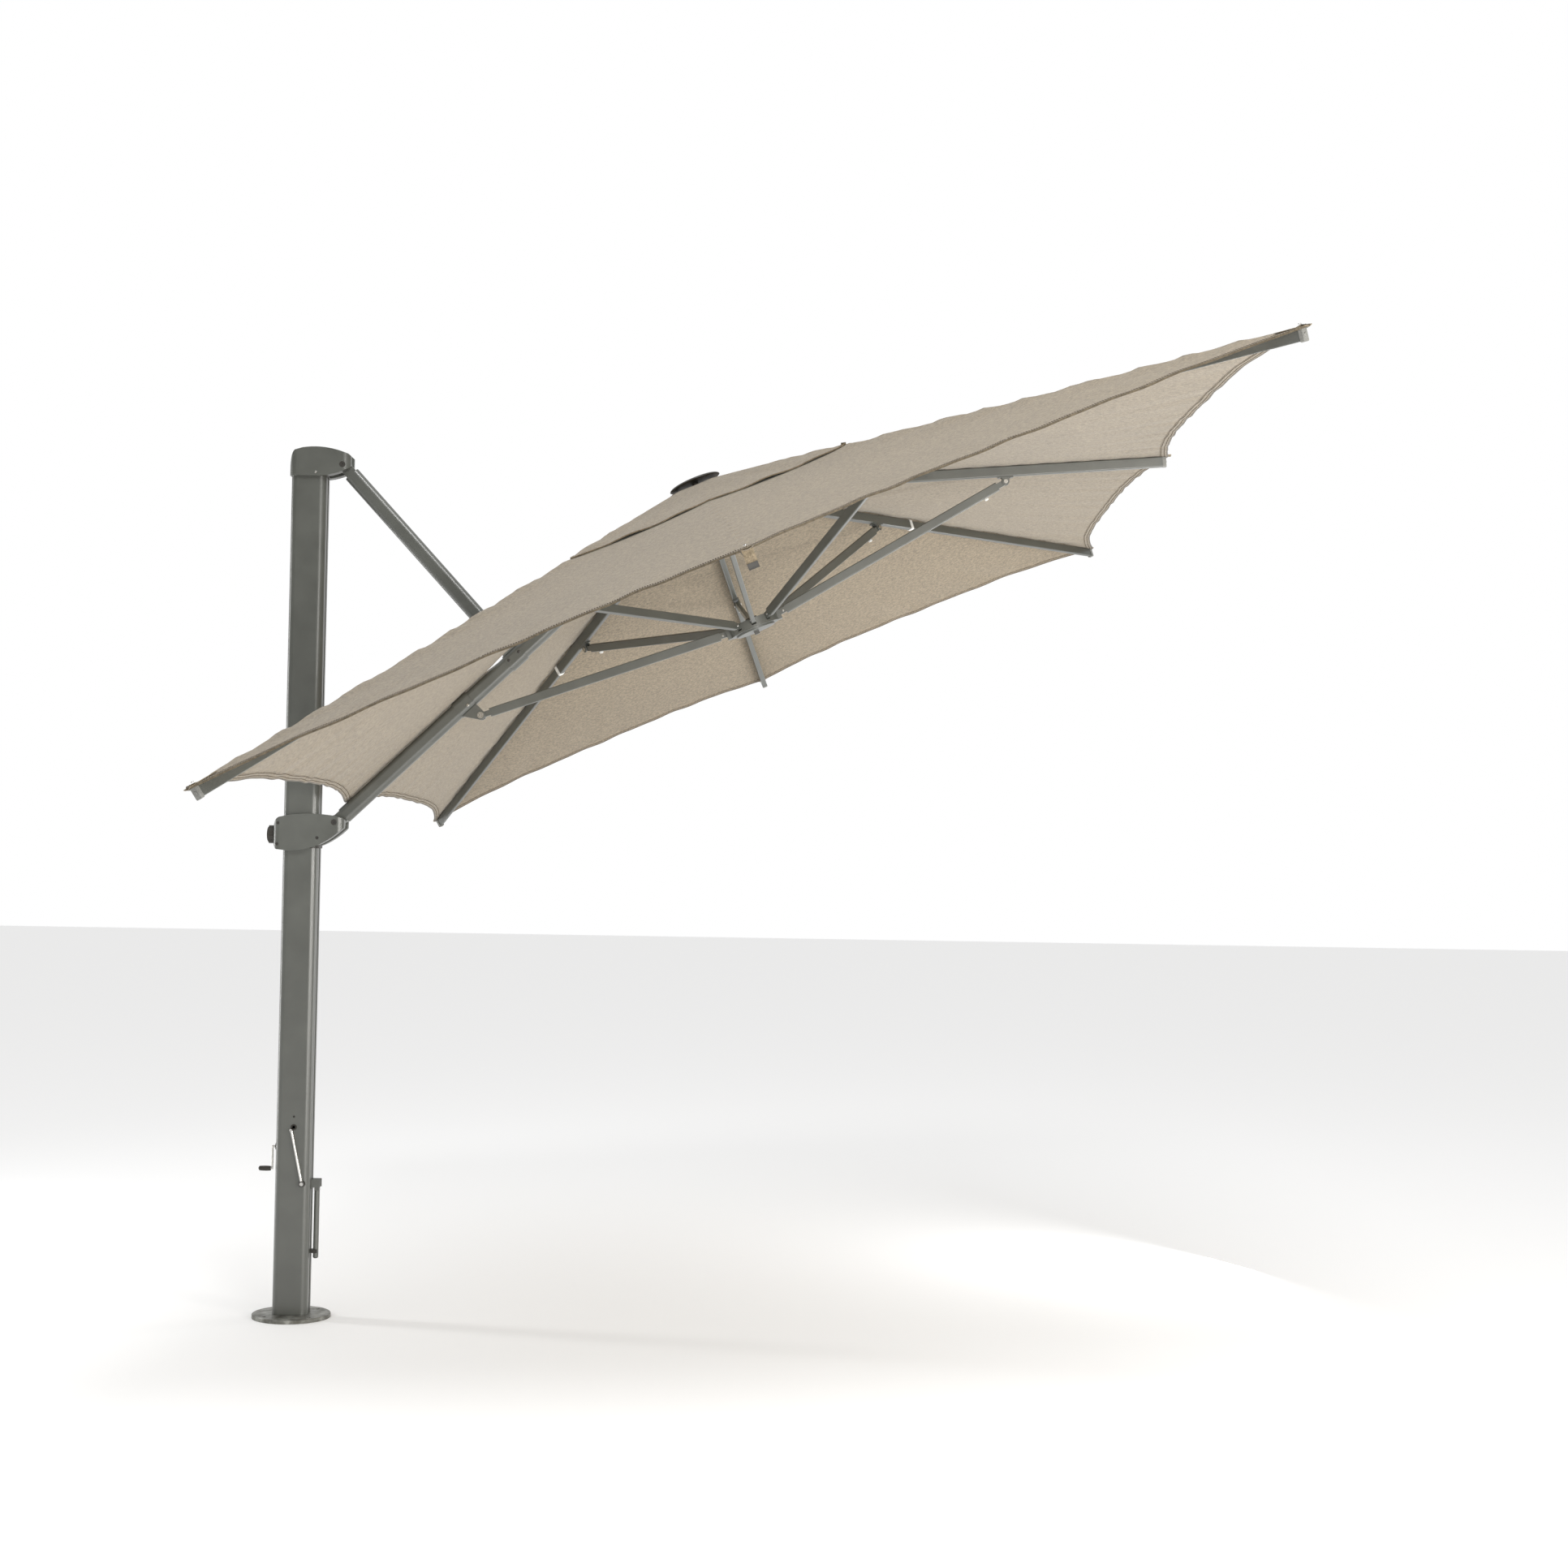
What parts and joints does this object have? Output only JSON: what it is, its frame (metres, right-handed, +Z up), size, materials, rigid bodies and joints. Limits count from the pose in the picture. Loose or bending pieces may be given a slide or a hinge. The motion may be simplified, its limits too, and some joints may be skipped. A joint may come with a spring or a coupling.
{
  "type": "cantilever parasol",
  "caption": "Side-mast garden parasol: a sliding carriage and folding strut hold an arm, and a tilted rectangular canopy on folding ribs hangs from it; bolts down by a round base plate.",
  "frame": {"origin": "centre of the base plate's underside", "axes": "+Z up along the mast, +X from the mast towards the canopy, +Y across the canopy, away from the side with the winch crank"},
  "size_m": [3.048, 4.0178, 2.9431],
  "materials": {
    "frame": "satin powder coat over aluminium, mid grey green",
    "zinc": "hot-dip galvanised, dull mottled grey",
    "steel": "bright plated steel",
    "black_steel": "black",
    "black_plastic": "matt black",
    "white_plastic": "white nylon",
    "cloth": "woven, mottled taupe"
  },
  "bodies": {
    "base": {"base_plate": "zinc", "base_spigot": "zinc"},
    "mast": {"mast_tube": "frame", "lower_bush": "white_plastic", "upper_bush": "white_plastic", "head_cap_near": "frame", "head_cap_far": "frame", "head_pin": "black_steel", "winch_housing": "zinc", "mast_fittings": "black_plastic", "lever_bracket": "frame"},
    "winch": {"winch_shaft": "steel", "winch_crank": "steel"},
    "rear_handle": {"rear_crank": "steel"},
    "rear_knob": {"rear_crank_grip": "black_plastic"},
    "lever": {"turning_lever": "frame"},
    "strut": {"mast_strut": "frame", "mast_strut_ends": "frame"},
    "arm": {"arm_tube": "frame", "arm_foot": "frame", "arm_tongue": "frame", "inner_bracket": "frame", "outer_bracket": "frame", "arm_pins": "steel"},
    "carriage": {"carriage_near": "frame", "carriage_far": "frame", "carriage_pin": "black_steel", "carriage_pads": "black_plastic", "carriage_screws": "black_steel"},
    "knob": {"lock_knob": "black_plastic"},
    "hub": {"top_hub": "frame", "hub_pins": "steel", "finial": "black_plastic", "canopy": "cloth", "vent_flap": "cloth"},
    "low_hub": {"lower_hub": "frame", "lower_hub_pins": "steel", "hub_bolt": "black_steel"},
    "rib_front_body": {"rib_front": "frame", "clevis_front": "frame"},
    "rib_far_outer_body": {"rib_far_outer": "frame", "clevis_far_outer": "frame"},
    "rib_far_body": {"rib_far": "frame", "clevis_far": "frame"},
    "rib_far_inner_body": {"rib_far_inner": "frame", "clevis_far_inner": "frame"},
    "rib_near_inner_body": {"rib_near_inner": "frame", "clevis_near_inner": "frame"},
    "rib_near_body": {"rib_near": "frame", "clevis_near": "frame"},
    "rib_near_outer_body": {"rib_near_outer": "frame", "clevis_near_outer": "frame"},
    "stay_front_body": {"stay_front": "frame"},
    "stay_far_outer_body": {"stay_far_outer": "frame"},
    "stay_far_body": {"stay_far": "frame"},
    "stay_far_inner_body": {"stay_far_inner": "frame"},
    "stay_near_inner_body": {"stay_near_inner": "frame"},
    "stay_near_body": {"stay_near": "frame"},
    "stay_near_outer_body": {"stay_near_outer": "frame"},
    "stay_arm_body": {"stay_arm": "frame"}
  },
  "joints": [
    {"name": "mast_turn", "type": "hinge", "parent": "base", "child": "mast", "pos_m": [0, 0, 0.1], "axis": [0, 0, 1], "continuous": true},
    {"name": "arm_lift", "type": "hinge", "parent": "mast", "child": "strut", "pos_m": [0.115, 0, 2.857], "axis": [0, 1, 0], "range_deg": [-24, 40]},
    {"name": "arm_hinge", "type": "hinge", "parent": "strut", "child": "arm", "pos_m": [0.67, 0, 2.255], "axis": [0, 1, 0], "range_deg": [-80.5, 48.5]},
    {"name": "carriage_pivot", "type": "hinge", "parent": "arm", "child": "carriage", "pos_m": [0.115, 0, 1.653], "axis": [0, 1, 0], "range_deg": [-24.5, 40.5]},
    {"name": "canopy_fold", "type": "hinge", "parent": "arm", "child": "hub", "pos_m": [1.25099, 0, 2.74292], "axis": [0, 1, 0], "range_deg": [0, 59.69], "deforming": ["canopy", "vent_flap"]},
    {"name": "winch_turn", "type": "hinge", "parent": "mast", "child": "winch", "pos_m": [0.035, 0, 0.448], "axis": [0, 1, 0], "continuous": true},
    {"name": "rear_turn", "type": "hinge", "parent": "mast", "child": "rear_handle", "pos_m": [-0.059, 0, 0.566], "axis": [1, 0, 0], "continuous": true},
    {"name": "rear_grip_spin", "type": "hinge", "parent": "rear_handle", "child": "rear_knob", "pos_m": [-0.1, 0, 0.492], "axis": [1, 0, 0], "continuous": true},
    {"name": "lever_swing", "type": "hinge", "parent": "mast", "child": "lever", "pos_m": [0.077, 0, 0.446], "axis": [0, -1, 0], "range_deg": [0, 95]},
    {"name": "knob_turn", "type": "hinge", "parent": "carriage", "child": "knob", "pos_m": [-0.1, 0, 1.61], "axis": [1, 0, 0], "continuous": true},
    {"name": "rib_front_hinge", "type": "hinge", "parent": "hub", "child": "rib_front_body", "pos_m": [1.38855, 0, 2.80273], "axis": [0, 1, 0], "range_deg": [-0.5, 67.42]},
    {"name": "stay_front_pivot", "type": "hinge", "parent": "rib_front_body", "child": "stay_front_body", "pos_m": [2.35039, 0, 2.84191], "axis": [0, 1, 0], "range_deg": [-148.65, 0.5]},
    {"name": "rib_far_outer_hinge", "type": "hinge", "parent": "hub", "child": "rib_far_outer_body", "pos_m": [1.36104, 0.06, 2.79077], "axis": [-0.7336, 0.6, -0.319], "range_deg": [-0.5, 74.17]},
    {"name": "stay_far_outer_pivot", "type": "hinge", "parent": "rib_far_outer_body", "child": "stay_far_outer_body", "pos_m": [1.94842, 0.7793, 2.79282], "axis": [-0.7336, 0.6, -0.319], "range_deg": [-147.84, 0.5]},
    {"name": "rib_far_hinge", "type": "hinge", "parent": "hub", "child": "rib_far_body", "pos_m": [1.31977, 0.075, 2.77283], "axis": [-0.9171, 0, -0.3987], "range_deg": [-0.5, 71.63]},
    {"name": "stay_far_pivot", "type": "hinge", "parent": "rib_far_body", "child": "stay_far_body", "pos_m": [1.42922, 0.97262, 2.5211], "axis": [-0.9171, 0, -0.3987], "range_deg": [-147.77, 0.5]},
    {"name": "rib_far_inner_hinge", "type": "hinge", "parent": "hub", "child": "rib_far_inner_body", "pos_m": [1.27851, 0.06, 2.75488], "axis": [-0.7336, -0.6, -0.319], "range_deg": [-0.5, 74.17]},
    {"name": "stay_far_inner_pivot", "type": "hinge", "parent": "rib_far_inner_body", "child": "stay_far_inner_body", "pos_m": [0.87642, 0.7793, 2.3267], "axis": [-0.7336, -0.6, -0.319], "range_deg": [-147.84, 0.5]},
    {"name": "rib_near_inner_hinge", "type": "hinge", "parent": "hub", "child": "rib_near_inner_body", "pos_m": [1.27851, -0.06, 2.75488], "axis": [0.7336, -0.6, 0.319], "range_deg": [-0.5, 74.17]},
    {"name": "stay_near_inner_pivot", "type": "hinge", "parent": "rib_near_inner_body", "child": "stay_near_inner_body", "pos_m": [0.87642, -0.7793, 2.3267], "axis": [0.7336, -0.6, 0.319], "range_deg": [-147.84, 0.5]},
    {"name": "rib_near_hinge", "type": "hinge", "parent": "hub", "child": "rib_near_body", "pos_m": [1.31977, -0.075, 2.77283], "axis": [0.9171, 0, 0.3987], "range_deg": [-0.5, 71.63]},
    {"name": "stay_near_pivot", "type": "hinge", "parent": "rib_near_body", "child": "stay_near_body", "pos_m": [1.42922, -0.97262, 2.5211], "axis": [0.9171, 0, 0.3987], "range_deg": [-147.77, 0.5]},
    {"name": "rib_near_outer_hinge", "type": "hinge", "parent": "hub", "child": "rib_near_outer_body", "pos_m": [1.36104, -0.06, 2.79077], "axis": [0.7336, 0.6, 0.319], "range_deg": [-0.5, 74.17]},
    {"name": "stay_near_outer_pivot", "type": "hinge", "parent": "rib_near_outer_body", "child": "stay_near_outer_body", "pos_m": [1.94842, -0.7793, 2.79282], "axis": [0.7336, 0.6, 0.319], "range_deg": [-147.84, 0.5]},
    {"name": "stay_arm_pivot", "type": "hinge", "parent": "arm", "child": "stay_arm_body", "pos_m": [0.59295, 0, 2.02149], "axis": [0, 1, 0], "range_deg": [-0.5, 139.98]},
    {"name": "low_hub_hinge", "type": "hinge", "parent": "stay_near_outer_body", "child": "low_hub", "pos_m": [1.54633, -0.06, 2.36464], "axis": [0.7336, 0.6, 0.319], "range_deg": [-0.5, 74.17]}
  ],
  "couplings": [
    {"joint": "arm_hinge", "follows": "arm_lift", "ratio": -2},
    {"joint": "carriage_pivot", "follows": "arm_lift", "ratio": 1},
    {"joint": "rib_front_hinge", "follows": "canopy_fold", "ratio": 1.1211},
    {"joint": "stay_front_pivot", "follows": "canopy_fold", "ratio": -2.4821},
    {"joint": "rib_far_outer_hinge", "follows": "canopy_fold", "ratio": 1.2343},
    {"joint": "stay_far_outer_pivot", "follows": "canopy_fold", "ratio": -2.4686},
    {"joint": "rib_far_hinge", "follows": "canopy_fold", "ratio": 1.1918},
    {"joint": "stay_far_pivot", "follows": "canopy_fold", "ratio": -2.4674},
    {"joint": "rib_far_inner_hinge", "follows": "canopy_fold", "ratio": 1.2343},
    {"joint": "stay_far_inner_pivot", "follows": "canopy_fold", "ratio": -2.4686},
    {"joint": "rib_near_inner_hinge", "follows": "canopy_fold", "ratio": 1.2343},
    {"joint": "stay_near_inner_pivot", "follows": "canopy_fold", "ratio": -2.4686},
    {"joint": "rib_near_hinge", "follows": "canopy_fold", "ratio": 1.1918},
    {"joint": "stay_near_pivot", "follows": "canopy_fold", "ratio": -2.4674},
    {"joint": "rib_near_outer_hinge", "follows": "canopy_fold", "ratio": 1.2343},
    {"joint": "stay_near_outer_pivot", "follows": "canopy_fold", "ratio": -2.4686},
    {"joint": "stay_arm_pivot", "follows": "canopy_fold", "ratio": 2.3369},
    {"joint": "low_hub_hinge", "follows": "canopy_fold", "ratio": 1.2343}
  ]
}
